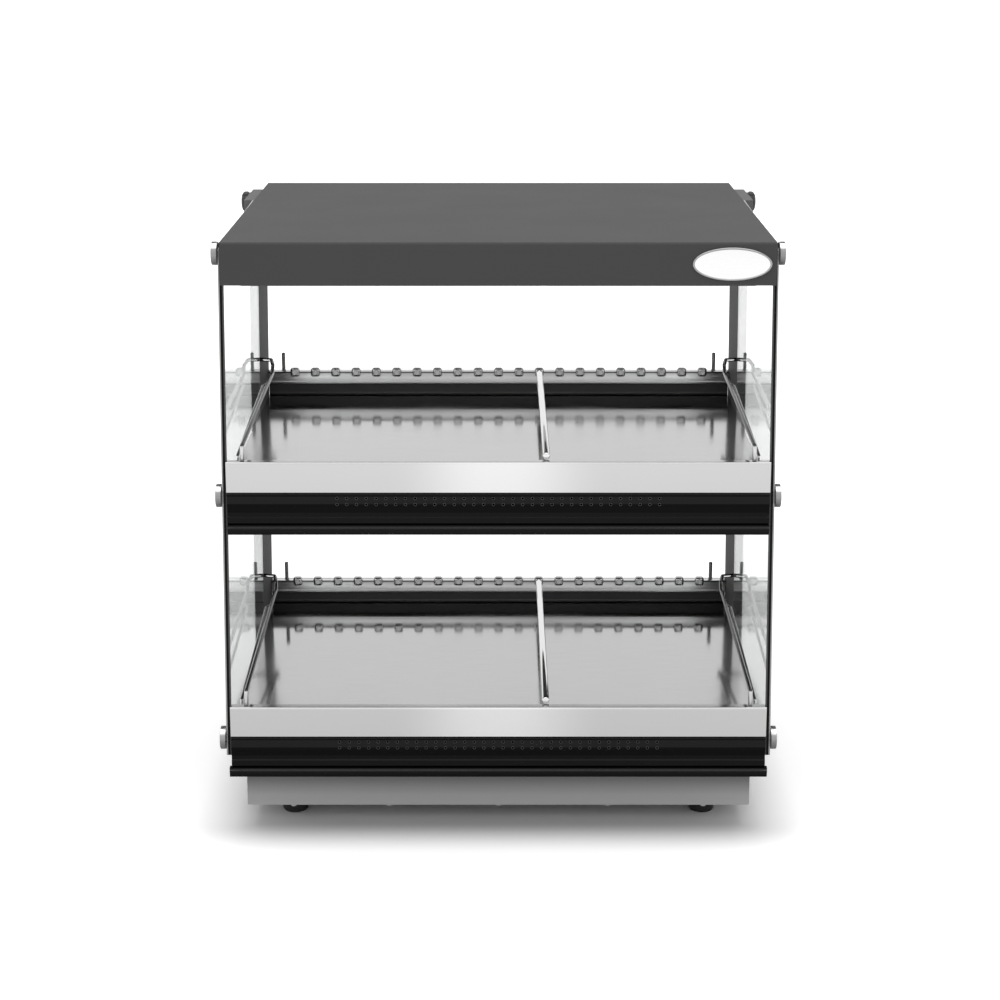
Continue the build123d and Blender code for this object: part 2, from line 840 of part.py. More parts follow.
def power_inlet():
    """Recessed three-pin inlet."""
    rear = plinth_box()[1]
    level = inlet_level()
    back = rear - inlet_depth
    front = rear + inlet_proud
    x0, x1 = inlet_x - inlet_width / 2, inlet_x + inlet_width / 2
    z0, z1 = level - inlet_height / 2, level + inlet_height / 2
    edge, rim, wall = inlet_side_flange, inlet_top_flange, inlet_wall
    inlet = block(x0, x1, back, rear, z0, z1)
    inlet += block(x0 - edge, x1 + edge, rear, front, z0 - rim, z1 + rim)
    inlet -= block(x0 + wall, x1 - wall, back + inlet_floor, front + cut_past, z0 + wall, z1 - wall)
    pin_back, pin_front = back + inlet_floor - cut_past, rear - inlet_pin_recess
    half_width, half_height = inlet_pin_width / 2, inlet_pin_height / 2
    for place, step in ((-1, -1), (0, 1), (1, -1)):
        x = inlet_x + place * inlet_pin_spread
        z = level + step * inlet_pin_step
        z0, z1 = z - half_height, z + half_height
        inlet += block(x - half_width, x + half_width, pin_back, pin_front, z0, z1)
    return inlet


def terminal_block():
    low = plinth_bottom + plinth_sheet
    top = low + block_height
    y = plinth_box()[1] - block_setback
    half = block_width / 2
    strip = block(inlet_x - half, inlet_x + half, y - block_depth / 2, y + block_depth / 2, low, top)
    for index in range(terminal_count):
        x = inlet_x + (index - (terminal_count - 1) / 2) * terminal_pitch
        for row in (y - terminal_row_gap / 2, y + terminal_row_gap / 2):
            strip -= cylinder_z(x, row, low + terminal_floor, top + cut_past, terminal_bore)
    return strip


def foot_places():
    front, rear, top = plinth_box()
    return [(x, y) for x in (-foot_x, foot_x) for y in (front + foot_inset, rear - foot_inset)]


def rubber_foot(x, y):
    foot = cylinder_z(x, y, 0, plinth_bottom, foot_diameter)
    ends = foot.edges().filter_by(GeomType.CIRCLE).sort_by(Axis.Z)
    foot = chamfer(ends[0], foot_chamfer)
    bore_bottom = plinth_bottom - foot_screw_length / 2
    return foot - cylinder_z(x, y, bore_bottom, plinth_bottom + cut_past, foot_screw_diameter)


def foot_screw_solid(x, y):
    start = plinth_bottom - foot_screw_length / 2
    screw = cylinder_z(x, y, start, start + foot_screw_length, foot_screw_diameter)
    nut = plinth_bottom + plinth_sheet
    return screw + cylinder_z(x, y, nut, nut + foot_nut_height, foot_nut_diameter)


def plinth_screw(x):
    y = plinth_box()[0] + screw_inset
    head = cylinder_z(x, y, plinth_bottom - screw_head_height, plinth_bottom, screw_head_diameter)
    lower = head.edges().filter_by(GeomType.CIRCLE).sort_by(Axis.Z)[0]
    head = fillet(lower, screw_head_rounding)
    return head + cylinder_z(x, y, plinth_bottom, plinth_bottom + screw_length, screw_diameter)


def build_glass():
    studs, caps, washers = [], [], []
    for y, z in fixing_places():
        studs.append(fixing_stud(y, z, cap_stud_end()))
        caps.append(fixing_cap(y, z))
        washers.append(fixing_washer(y, z, pane_outside))
    knob_y, knob_z = knob_place()
    studs.append(fixing_stud(knob_y, knob_z, knob_stud_end()))
    washers.append(fixing_washer(knob_y, knob_z, post_outer))
    for name, sign in sides:
        save(side_pane(sign), f"side_glass_{name}")
        save(rear_knob(sign), f"rear_knob_{name}")
        save(rear_post(sign), f"rear_post_{name}")
    save_group(studs + [mirrored_x(stud) for stud in studs], "glass_studs")
    save_group(caps + [mirrored_x(cap) for cap in caps], "standoff_caps")
    save_group(washers + [mirrored_x(washer) for washer in washers], "glass_washers")


def build_canopy():
    save(canopy_cover(), "canopy_cover")
    save_group([canopy_side_frame(sign) for name, sign in sides], "canopy_side_frames")
    save(canopy_liner(), "canopy_liner")
    save_group(liner_hangers(), "liner_hangers")
    save(lamp_lens(), "lamp_lens")
    save(lamp_tube(), "lamp_tube")
    save_group(lamp_holders(), "lamp_holders")
    save_group(heating_elements(), "heating_elements")
    save_group(element_brackets(), "element_brackets")
    save(element_guard(), "element_guard")
    save(badge_plate(), "badge_plate")


def build_shelf(name, lip_top, lowest):
    y = lean_line(lip_top)
    save(tray(y, lip_top), f"{name}_tray")
    channel = front_channel(y, lip_top - lip_height, flange_overhang if lowest else 0)
    save(channel, f"{name}_front_channel")
    save_group(end_panels(y, lip_top), f"{name}_end_panels")
    save(bottom_pan(y, lip_top), f"{name}_bottom_pan")
    save(heater_plate(y, lip_top), f"{name}_heater_plate")
    save(insulation_board(y, lip_top), f"{name}_insulation_board")
    save(rear_wall(y, lip_top), f"{name}_rear_wall")
    save(rear_rack(y, lip_top), f"{name}_rear_rack")
    save(divider_rod(y, lip_top), f"{name}_divider_rod")
    save_group([side_guard(y, lip_top, sign) for side, sign in sides], f"{name}_side_guards")
    save(thermostat(y, lip_top), f"{name}_thermostat")
    save(thermostat_dial(y, lip_top), f"{name}_thermostat_dial")
    save(pilot_lamp(y, lip_top), f"{name}_pilot_lamp")
    save(switch_body(y, lip_top), f"{name}_switch_body")
    save(switch_rocker(y, lip_top), f"{name}_switch_rocker")
    return rack_pins(y, lip_top)


def build_base():
    save(base_plinth(), "base_plinth")
    save_group([plinth_screw(x) for x in screw_columns], "plinth_screws")
    save_group([rubber_foot(x, y) for x, y in foot_places()], "rubber_feet")
    save_group([foot_screw_solid(x, y) for x, y in foot_places()], "foot_screws")
    save(power_inlet(), "power_inlet")
    save(terminal_block(), "terminal_block")


os.makedirs("parts", exist_ok=True)
build_glass()
build_canopy()
pins = []
for shelf_name, shelf_lip_top in zip(shelf_names, shelf_lip_tops):
    pins += build_shelf(shelf_name, shelf_lip_top, shelf_name == shelf_names[0])
save_group(pins, "rack_pins")
build_base()
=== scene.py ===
import bpy, bmesh, json, math
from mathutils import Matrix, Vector


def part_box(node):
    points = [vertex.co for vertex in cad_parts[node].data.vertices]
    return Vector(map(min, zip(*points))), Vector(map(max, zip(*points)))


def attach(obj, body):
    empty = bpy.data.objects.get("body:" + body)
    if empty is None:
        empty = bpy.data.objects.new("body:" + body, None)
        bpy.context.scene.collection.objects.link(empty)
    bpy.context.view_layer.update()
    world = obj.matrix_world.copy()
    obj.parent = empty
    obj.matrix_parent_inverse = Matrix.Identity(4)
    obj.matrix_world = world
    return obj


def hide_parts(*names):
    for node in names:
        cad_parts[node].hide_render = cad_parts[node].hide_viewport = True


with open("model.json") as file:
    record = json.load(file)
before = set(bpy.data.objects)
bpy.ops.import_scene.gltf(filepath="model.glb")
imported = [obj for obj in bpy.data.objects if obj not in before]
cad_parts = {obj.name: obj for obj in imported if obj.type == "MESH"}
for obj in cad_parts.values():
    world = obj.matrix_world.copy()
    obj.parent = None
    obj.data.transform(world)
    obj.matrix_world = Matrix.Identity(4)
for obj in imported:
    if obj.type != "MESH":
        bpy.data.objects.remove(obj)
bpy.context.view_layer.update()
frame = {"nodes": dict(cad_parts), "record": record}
print("display case: frame loaded")

mm = 0.001
sides = {"left": -1, "right": 1}
scene = bpy.context.scene
scene.view_settings.view_transform = "Standard"


# camera, at the photo's height and distance
cameraSetup = {
    "lens": 76.18, "sensor": 36.0, "shiftY": -0.08, "near": 0.05, "far": 60.0,
    "place": (0.0018, -2.3985, 0.994), "downDeg": 13.71,
}


def addCamera(setup):
    data = bpy.data.cameras.new("photoCamera")
    data.lens = setup["lens"]
    data.sensor_width = setup["sensor"]
    data.shift_y = setup["shiftY"]
    data.clip_start = setup["near"]
    data.clip_end = setup["far"]
    camera = bpy.data.objects.new("photoCamera", data)
    camera.location = setup["place"]
    camera.rotation_euler = (math.radians(90 - setup["downDeg"]), 0, 0)
    scene.collection.objects.link(camera)
    scene.camera = camera


addCamera(cameraSetup)


# node helpers: an input takes a value or another node's output
def addNode(tree, kind, inputs=(), **settings):
    node = tree.nodes.new(kind)
    for setting, value in settings.items():
        setattr(node, setting, value)
    for socket, source in dict(inputs).items():
        if isinstance(source, bpy.types.NodeSocket):
            tree.links.new(source, node.inputs[socket])
        else:
            node.inputs[socket].default_value = source
    return node


def addMath(tree, operation, *sources):
    return addNode(tree, "ShaderNodeMath", enumerate(sources), operation=operation).outputs[0]


def addVectorMath(tree, operation, *sources):
    node = addNode(tree, "ShaderNodeVectorMath", enumerate(sources), operation=operation)
    return node.outputs["Value" if operation == "LENGTH" else "Vector"]


def mixedShader(tree, share, first, second):
    return addNode(tree, "ShaderNodeMixShader", {0: share, 1: first, 2: second}).outputs[0]


def ramped(tree, share, stops):
    ramp = addNode(tree, "ShaderNodeValToRGB", {"Fac": share})
    elements = ramp.color_ramp.elements
    for number, (position, colour) in enumerate(stops):
        stop = elements[number] if number < 2 else elements.new(1.0)
        stop.position = position
        stop.color = colour
    return ramp.outputs["Color"]


# studio: white surround, one large light above, a soft one in front
# steps: metres away from the case's base, and the floor's glow there, seen straight or in a mirror; the glow
# is painted light, none at the base and rising with distance, so the floor stays darker only close round the
# case
studio = {
    "ambient": 0.62, "backdrop": 1.0, "aim": (0, 0, 0.3),
    "topSize": (3.2, 2.6), "topPlace": (0.0, -0.2, 2.9), "topPower": 34.0,
    "frontSize": (1.3, 1.0), "frontPlace": (0.0, -2.9, 1.9), "frontPower": 8.0,
    "floorSize": 60.0, "floorColour": 0.86,
    "baseHalf": (0.27, 0.19, 0.0), "baseMiddle": (0.0, -0.03, 0.0),
    "floorSteps": ((0.0, 0.0), (0.02, 0.12), (0.07, 0.46), (0.4, 0.62), (2.4, 1.0)),
    "mirrorSteps": ((0.0, 0.0), (0.4, 0.1), (1.0, 0.15), (2.6, 0.5)),
}
white = (1, 1, 1, 1)


def addWorld(setup):
    world = bpy.data.worlds.new("studioWorld")
    scene.world = world
    world.use_nodes = True
    tree = world.node_tree
    tree.nodes.clear()
    rays = addNode(tree, "ShaderNodeLightPath").outputs
    seen = addMath(tree, "MAXIMUM", rays["Is Camera Ray"], rays["Is Glossy Ray"])
    seen = addMath(tree, "MAXIMUM", seen, rays["Is Transmission Ray"])
    ambient = addNode(tree, "ShaderNodeBackground", {"Color": white, "Strength": setup["ambient"]})
    backdrop = addNode(tree, "ShaderNodeBackground", {"Color": white, "Strength": setup["backdrop"]})
    surround = mixedShader(tree, seen, ambient.outputs[0], backdrop.outputs[0])
    addNode(tree, "ShaderNodeOutputWorld", {"Surface": surround})


def addAreaLight(setup, part, mirrored=True):
    data = bpy.data.lights.new(part + "Light", "AREA")
    data.shape = "RECTANGLE"
    data.size, data.size_y = setup[part + "Size"]
    data.energy = setup[part + "Power"]
    lamp = bpy.data.objects.new(part + "Light", data)
    place = Vector(setup[part + "Place"])
    lamp.location = place
    lamp.rotation_euler = (Vector(setup["aim"]) - place).to_track_quat("-Z", "Y").to_euler()
    lamp.visible_glossy = mirrored
    scene.collection.objects.link(lamp)


def floorPaint(setup):
    material = bpy.data.materials.new("studioFloorPaint")
    material.use_nodes = True
    tree = material.node_tree
    tree.nodes.clear()
    place = addNode(tree, "ShaderNodeTexCoord").outputs["Object"]
    offset = addVectorMath(tree, "ABSOLUTE", addVectorMath(tree, "SUBTRACT", place, setup["baseMiddle"]))
    outside = addVectorMath(tree, "MAXIMUM", addVectorMath(tree, "SUBTRACT", offset, setup["baseHalf"]))
    away = addVectorMath(tree, "LENGTH", outside)
    rays = addNode(tree, "ShaderNodeLightPath").outputs
    direct = addMath(tree, "MAXIMUM", rays["Is Camera Ray"], rays["Is Transmission Ray"])
    # the floor's painted glow: weak near the base, which keeps a painted ring of shade round the case, in
    # view and in mirrors
    glows = []
    for ray, levels in ((direct, setup["floorSteps"]), (rays["Is Glossy Ray"], setup["mirrorSteps"])):
        reach = levels[-1][0]
        stops = [(distance / reach, (level, level, level, 1)) for distance, level in levels]
        glow = ramped(tree, addMath(tree, "DIVIDE", away, reach), stops)
        glows.append(addMath(tree, "MULTIPLY", ray, glow))
    paint = addNode(tree, "ShaderNodeBsdfDiffuse", {"Color": (setup["floorColour"],) * 3 + (1,)})
    lift = addNode(tree, "ShaderNodeEmission", {"Color": white, "Strength": addMath(tree, "MAXIMUM", *glows)})
    both = addNode(tree, "ShaderNodeAddShader", {0: paint.outputs[0], 1: lift.outputs[0]})
    # clear from below, so that low views see the case's underside
    below = addNode(tree, "ShaderNodeNewGeometry").outputs["Backfacing"]
    clear = addNode(tree, "ShaderNodeBsdfTransparent").outputs[0]
    addNode(tree, "ShaderNodeOutputMaterial", {"Surface": mixedShader(tree, below, both.outputs[0], clear)})
    return material


def addFloor(setup):
    half = setup["floorSize"] / 2
    corners = [(-half, -half, 0), (half, -half, 0), (half, half, 0), (-half, half, 0)]
    mesh = bpy.data.meshes.new("studioFloor")
    mesh.from_pydata(corners, [], [(0, 1, 2, 3)])
    floor = bpy.data.objects.new("studioFloor", mesh)
    scene.collection.objects.link(floor)
    mesh.materials.append(floorPaint(setup))


addWorld(studio)
addFloor(studio)
addAreaLight(studio, "top")
addAreaLight(studio, "front", mirrored=False)
print("display case: studio ready")


# materials; shades are sRGB values, 0 to 255
lineDepth = 0.00005
alongX = (0.01, 1, 1)
evenly = (1, 1, 1)


def linear(value):
    return value / 12.92 if value <= 0.04045 else ((value + 0.055) / 1.055) ** 2.4


def shade(red, green=None, blue=None):
    green = red if green is None else green
    blue = red if blue is None else blue
    return (linear(red / 255), linear(green / 255), linear(blue / 255), 1.0)


def scaled(colour, factor):
    return tuple(min(part * factor, 1) for part in colour[:3]) + (1,)


def graded(*stops):
    return [(place, shade(grey)) for place, grey in stops]


def startFinish(name, colour, roughness, metallic=0.0):
    material = bpy.data.materials.new(name)
    material.use_nodes = True
    tree = material.node_tree
    shader = tree.nodes["Principled BSDF"]
    shader.inputs["Base Color"].default_value = colour
    shader.inputs["Roughness"].default_value = roughness
    shader.inputs["Metallic"].default_value = metallic
    material.diffuse_color = colour
    return material, tree, shader, addNode(tree, "ShaderNodeTexCoord").outputs["Object"]


def noise(tree, vector, scale, detail=3.0, rough=0.5):
    inputs = {"Vector": vector, "Scale": scale, "Detail": detail, "Roughness": rough}
    return addNode(tree, "ShaderNodeTexNoise", inputs).outputs["Fac"]


def brushLines(tree, place, scale=1500.0, stretch=alongX):
    mapping = addNode(tree, "ShaderNodeMapping", {"Vector": place, "Scale": stretch})
    return noise(tree, mapping.outputs["Vector"], scale, rough=0.6)


def ranged(tree, value, low, high, fromLow=0.3, fromHigh=0.7, curve="LINEAR"):
    inputs = {"Value": value, "From Min": fromLow, "From Max": fromHigh, "To Min": low, "To Max": high}
    return addNode(tree, "ShaderNodeMapRange", inputs, interpolation_type=curve).outputs["Result"]


def tinted(tree, share, first, second):
    inputs = {"Factor": share, "A": first, "B": second}
    return addNode(tree, "ShaderNodeMix", inputs, data_type="RGBA").outputs["Result"]


def partOf(tree, vector, axis):
    return addNode(tree, "ShaderNodeSeparateXYZ", {"Vector": vector}).outputs[axis]


def facing(tree, axis):
    return partOf(tree, addNode(tree, "ShaderNodeNewGeometry").outputs["Normal"], axis)


def fromMiddle(tree, place):
    return addMath(tree, "ABSOLUTE", partOf(tree, place, "X"))


def coloured(tree, shader, colour):
    tree.links.new(colour, shader.inputs["Base Color"])


def roughened(tree, shader, value, low, high):
    tree.links.new(ranged(tree, value, low, high), shader.inputs["Roughness"])


def bumped(tree, shader, height, strength, distance=lineDepth):
    bump = addNode(tree, "ShaderNodeBump", {"Height": height, "Strength": strength, "Distance": distance})
    tree.links.new(bump.outputs["Normal"], shader.inputs["Normal"])


def powderCoat(name, colour, roughness, specular):
    material, tree, shader, place = startFinish(name, colour, roughness)
    shader.inputs["Specular IOR Level"].default_value = specular
    patches = noise(tree, place, 9.0, detail=4.0)
    share = ranged(tree, patches, 0, 1)
    coloured(tree, shader, tinted(tree, share, scaled(colour, 0.975), scaled(colour, 1.025)))
    roughened(tree, shader, patches, roughness - 0.03, roughness + 0.03)
    bumped(tree, shader, noise(tree, place, 900.0, detail=2.0), 0.22, 0.00012)
    return material


# faces that look forward take a colour of their own, partly the lips' different brushed finish and partly a
# painted reflection; brighter near the case's middle as a painted highlight
forward = {"full": -0.9, "none": -0.4, "paintedHighlightReach": 0.13, "paintedHighlightGain": 1.32}


def frontToned(tree, place, tone, frontColour):
    paintedHighlight = ranged(tree, fromMiddle(tree, place), 1.0, 0.0, 0.0, forward["paintedHighlightReach"], "SMOOTHERSTEP")
    front = tinted(tree, paintedHighlight, frontColour, scaled(frontColour, forward["paintedHighlightGain"]))
    share = ranged(tree, facing(tree, "Y"), 1.0, 0.0, forward["full"], forward["none"])
    return tinted(tree, share, tone, front)


def brushedMetal(name, colour, roughness, scale=1500.0, depth=0.1, stretch=alongX, spread=0.07,
                 frontColour=None):
    material, tree, shader, place = startFinish(name, colour, roughness, 1.0)
    lineShare = 0.55
    lines = brushLines(tree, place, scale, stretch)
    smears = ranged(tree, noise(tree, place, 6.0), 0, 1 - lineShare)
    mixed = addMath(tree, "MULTIPLY_ADD", lines, lineShare, smears)
    roughened(tree, shader, mixed, roughness - spread, roughness + spread)
    tone = tinted(tree, ranged(tree, lines, 0, 1), scaled(colour, 0.94), scaled(colour, 1.04))
    coloured(tree, shader, frontToned(tree, place, tone, frontColour) if frontColour else tone)
    bumped(tree, shader, lines, depth)
    return material


def mouldedPlastic(name, colour, roughness, grain=700.0):
    material, tree, shader, place = startFinish(name, colour, roughness)
    roughened(tree, shader, noise(tree, place, 40.0), roughness - 0.07, roughness + 0.07)
    bumped(tree, shader, noise(tree, place, grain, detail=2.0), 0.3, 0.00008)
    return material


def satinRail(name, colour, roughness):
    material, tree, shader, place = startFinish(name, colour, roughness, 1.0)
    lines = brushLines(tree, place)
    roughened(tree, shader, lines, roughness - 0.07, roughness + 0.07)
    bumped(tree, shader, lines, 0.08)
    return material


def chromePlate(name, colour, roughness):
    material, tree, shader, place = startFinish(name, colour, roughness, 1.0)
    roughened(tree, shader, noise(tree, place, 60.0), roughness * 0.6, roughness * 1.5)
    return material


# shadow and diffuse rays pass straight through the glass
def clearGlass(name, colour):
    material, tree, shader, place = startFinish(name, colour, 0.0)
    shader.inputs["Transmission Weight"].default_value = 1.0
    shader.inputs["IOR"].default_value = 1.5
    rays = addNode(tree, "ShaderNodeLightPath").outputs
    either = addMath(tree, "MAXIMUM", rays["Is Shadow Ray"], rays["Is Diffuse Ray"])
    clear = addNode(tree, "ShaderNodeBsdfTransparent").outputs[0]
    surface = mixedShader(tree, either, shader.outputs[0], clear)
    tree.links.new(surface, tree.nodes["Material Output"].inputs["Surface"])
    cast = ranged(tree, noise(tree, place, 14.0), 0, 1)
    coloured(tree, shader, tinted(tree, cast, scaled(colour, 0.985), colour))
    return material


# bands over a pane's thickness, painted highlight and painted shade: metres from the case's middle between
# which each one blends
edgeBands = {"inner": (0.2896, 0.2900), "outer": (0.2922, 0.2926)}


def edgeGlass(name, pale, dark, middle):
    material, tree, shader, place = startFinish(name, dark, 0.35)
    shader.inputs["Specular IOR Level"].default_value = 0.1
    outward = fromMiddle(tree, place)
    within = tinted(tree, ranged(tree, outward, 1.0, 0.0, *edgeBands["inner"]), dark, middle)
    coloured(tree, shader, tinted(tree, ranged(tree, outward, 0.0, 1.0, *edgeBands["outer"]), within, pale))
    roughened(tree, shader, noise(tree, place, 300.0), 0.2, 0.45)
    return material


# colour by height, which paints light and shade over a part: stops in millimetres above the base
def heightToned(name, base, stops, roughness):
    material, tree, shader, place = startFinish(name, stops[0][1], roughness, 1.0)
    reach = stops[-1][0]
    share = ranged(tree, partOf(tree, place, "Z"), 0.0, 1.0, base * mm, (base + reach) * mm)
    coloured(tree, shader, ramped(tree, share, [(height / reach, colour) for height, colour in stops]))
    lines = brushLines(tree, place)
    roughened(tree, shader, lines, roughness - 0.05, roughness + 0.05)
    bumped(tree, shader, lines, 0.1)
    return material


# colour by direction, which paints light and shade by the way a face looks: stops from -1, facing down, to 1,
# facing up
def normalToned(name, stops, roughness):
    material, tree, shader, place = startFinish(name, stops[0][1], roughness, 1.0)
    share = ranged(tree, facing(tree, "Z"), 0.0, 1.0, -1.0, 1.0)
    coloured(tree, shader, ramped(tree, share, [((upward + 1) / 2, colour) for upward, colour in stops]))
    roughened(tree, shader, noise(tree, place, 60.0), roughness * 0.7, roughness * 1.4)
    return material


# one flat tone for each band, with a short blend between two bands
def banded(bands, blur=0.3):
    stops = []
    for low, high, grey in bands:
        stops += [(low + blur, shade(grey)), (high - blur, shade(grey))]
    return [(0.0, stops[0][1])] + stops + [(bands[-1][1], stops[-1][1])]


finishes = {
    "canopy_paint": powderCoat("canopyPaint", shade(78), 0.62, 0.1),
    "black_paint": powderCoat("blackPaint", shade(58), 0.5, 0.25),
    "black_anodised": brushedMetal("blackAnodised", shade(36), 0.3, scale=1800.0),
    # the trays' forward faces take frontColour: a painted reflection, with a painted highlight near the
    # case's middle
    "tray_steel": brushedMetal("traySteel", shade(186), 0.11, depth=0.03, stretch=(0.015, 1, 1), spread=0.04,
                               frontColour=shade(206)),
    "plain_steel": brushedMetal("plainSteel", shade(120), 0.34, depth=0.12),
    "silver_rail": brushedMetal("silverRail", shade(205), 0.28, scale=1600.0),
    "chrome_wire": chromePlate("chromeWire", shade(232), 0.08),
    "clear_glass": clearGlass("clearGlass", (0.97, 0.99, 0.985, 1)),
    "knob_plastic": mouldedPlastic("knobPlastic", shade(34), 0.42),
    "washer_rubber": mouldedPlastic("washerRubber", shade(90), 0.6),
    "foot_rubber": mouldedPlastic("footRubber", shade(28), 0.6),
    "badge_metal": brushedMetal("badgeMetal", shade(168), 0.3),
    "lamp_glass": mouldedPlastic("lampGlass", shade(240), 0.3),
    "element_sheath": brushedMetal("elementSheath", shade(110, 100, 96), 0.45, 300.0, 0.2, evenly),
    "foil_heater": brushedMetal("foilHeater", shade(200, 190, 170), 0.3, 200.0, 0.3, evenly),
    "mineral_board": mouldedPlastic("mineralBoard", shade(205, 195, 165), 0.9, grain=250.0),
    "pilot_red": mouldedPlastic("pilotRed", shade(190, 30, 22), 0.2),
    "terminal_plastic": mouldedPlastic("terminalPlastic", shade(225, 222, 208), 0.45),
}

# finishes of the scene's own pieces
# caps: painted shade darker towards the underside, a painted highlight band high up, and a painted dark
# reflection along the top
capLightTones = graded((-1.0, 120), (0.0, 146), (0.5, 168), (0.62, 236), (0.86, 236), (0.94, 90), (1.0, 80))
# guard wires: painted reflection, bright where a face looks sideways and dark where it looks up or down
wireReflectionTones = graded((-1.0, 56), (-0.45, 62), (-0.12, 214), (0.12, 214), (0.45, 74), (1.0, 60))
# rails: painted reflection brighter towards the foot, a painted dark line of shade under the top edge, and a
# lighter top
railLightTones = graded((0.0, 255), (8.0, 252), (11.0, 228), (13.2, 190), (13.7, 96), (15.1, 96), (15.4, 215),
                   (16.0, 215))
railFeet = {"lower": 146.5, "upper": 411.5}
# the panes' edges: a pale painted highlight outside, a dark core of painted shade, and a mid-grey painted
# highlight inside
glassEdgeLightBands = edgeGlass("glassEdgeLightBands", shade(176), shade(8), shade(90))
capMetal = normalToned("capMetal", capLightTones, 0.24)
railMetals = {shelf: heightToned(shelf + "Rail", foot, railLightTones, 0.34) for shelf, foot in railFeet.items()}
foldSteel = satinRail("foldSteel", shade(100), 0.6)
socketMetal = chromePlate("socketMetal", shade(196), 0.16)
darkWire = chromePlate("darkWire", shade(120), 0.2)
guardWire = normalToned("guardWire", wireReflectionTones, 0.12)
markWhite = mouldedPlastic("markWhite", shade(235), 0.5)
badgeEnamel = satinRail("badgeEnamel", shade(247), 0.3)
# the vent rims' pale grey is a painted highlight on the holes' edges
ventRim = satinRail("ventRim", shade(96), 0.4)

# nodes that keep their CAD mesh but not their slot's finish
# channel bands, the painted light of the ribs and grooves, painted highlights on the ridges and painted shade
# in the grooves: lower edge, upper edge and grey of each band
channelLightBands = [
    (0, 3, 28), (3, 6, 32), (6, 7.2, 38), (7.2, 8.8, 64), (8.8, 11, 32), (11, 13, 9), (13, 24, 28),
    (24, 34, 21), (34, 42, 36), (42, 44.2, 21), (44.2, 46, 50), (46, 48, 26),
]
channelFeet = {"lower": 77.0, "upper": 342.0}
plinthFoot = 25.0
# the plinth's steel darker towards its top: painted shade under the channel's overhang
plinthShadeTones = graded((0.0, 178), (12.0, 166), (30.0, 116), (44.0, 82), (52.0, 72))
# the posts take a lighter copy of the canopy's paint and the rear walls a lighter copy of the black paint;
# the extra lightness is painted light
postPaintLit = powderCoat("postPaintLit", shade(110), 0.6, 0.04)
wallPaintLit = powderCoat("wallPaintLit", shade(72), 0.5, 0.25)
ownLooks = {"base_plinth": heightToned("plinthSteel", plinthFoot, plinthShadeTones, 0.36)}
for side in sides:
    ownLooks["rear_post_" + side] = postPaintLit
for shelf, foot in channelFeet.items():
    ownLooks[shelf + "_rear_wall"] = wallPaintLit
    ownLooks[shelf + "_front_channel"] = heightToned(shelf + "Channel", foot, banded(channelLightBands), 0.3)

slotOf = {part["node"]: part["material_slot"] for part in frame["record"]["subparts"]}
for nodeName, node in frame["nodes"].items():
    finish = ownLooks.get(nodeName, finishes[slotOf[nodeName]])
    if not node.data.materials:
        node.data.materials.append(finish)
    for index in range(len(node.data.materials)):
        node.data.materials[index] = finish
print("display case: finishes ready")


# places shared with the solids, in millimetres
caseFront = -268.5
lean = math.tan(math.radians(5.6))
lipTops = {"lower": 157.0, "upper": 422.0}
shelfDepth = 434.0
paneIn = 288.0
paneOut = 294.0
postSetback = 337.5


def leanY(z):
    return caseFront + (z - lipTops["lower"]) * lean


# mesh helpers, all in millimetres until finishMesh
weld = 0.0005


def finishMesh(bm, name, angle):
    bmesh.ops.remove_doubles(bm, verts=bm.verts, dist=weld)
    bmesh.ops.recalc_face_normals(bm, faces=bm.faces)
    bmesh.ops.scale(bm, vec=(mm, mm, mm), verts=bm.verts)
    mesh = bpy.data.meshes.new(name)
    bm.to_mesh(mesh)
    bm.free()
    mesh.shade_smooth()
    mesh.set_sharp_from_angle(angle=math.radians(angle))
    return mesh


def addPiece(name, bm, looks, nodes=(), body="case", angle=35):
    mesh = finishMesh(bm, name, angle)
    for look in looks:
        mesh.materials.append(look)
    piece = bpy.data.objects.new(name, mesh)
    scene.collection.objects.link(piece)
    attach(piece, body)
    if nodes:
        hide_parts(*nodes)
    return piece


def turnsOf(steps):
    return [2 * math.pi * step / steps for step in range(steps)]


def addLoop(bm, places):
    return [bm.verts.new(place) for place in places]


# joins loops of equal length; the last band and its end face can take another slot
def skinned(bm, loops, slot=0, lastSlot=None, capped=True):
    lastSlot = slot if lastSlot is None else lastSlot
    slots = [slot] * (len(loops) - 2) + [lastSlot]
    for near, far, look in zip(loops, loops[1:], slots):
        for step in range(len(near)):
            after = (step + 1) % len(near)
            bm.faces.new((near[step], near[after], far[after], far[step])).material_index = look
    if capped:
        bm.faces.new(loops[0]).material_index = slot
        bm.faces.new(loops[-1]).material_index = lastSlot


def circle(centre, side, other, radius, steps):
    return [centre + (side * math.cos(turn) + other * math.sin(turn)) * radius for turn in turnsOf(steps)]


# a profile of (along, radius) pairs turned about an axis
def turned(bm, profile, origin, axis, steps, slot=0):
    origin, axis = Vector(origin), Vector(axis).normalized()
    side = axis.orthogonal().normalized()
    other = axis.cross(side)
    circles = [circle(origin + axis * along, side, other, radius, steps) for along, radius in profile]
    skinned(bm, [addLoop(bm, places) for places in circles], slot)


def roundedBlock(bm, low, high, bevel, segments, slot=0):
    verts = bmesh.ops.create_cube(bm, size=1.0)["verts"]
    centre = (Vector(low) + Vector(high)) / 2
    size = Vector(high) - Vector(low)
    for vert in verts:
        vert.co = vert.co * size + centre
    edges = list({edge for vert in verts for edge in vert.link_edges})
    made = bmesh.ops.bevel(bm, geom=edges, offset=bevel, segments=segments, profile=0.5, affect="EDGES")
    for face in {face for vert in made["verts"] for face in vert.link_faces}:
        face.material_index = slot


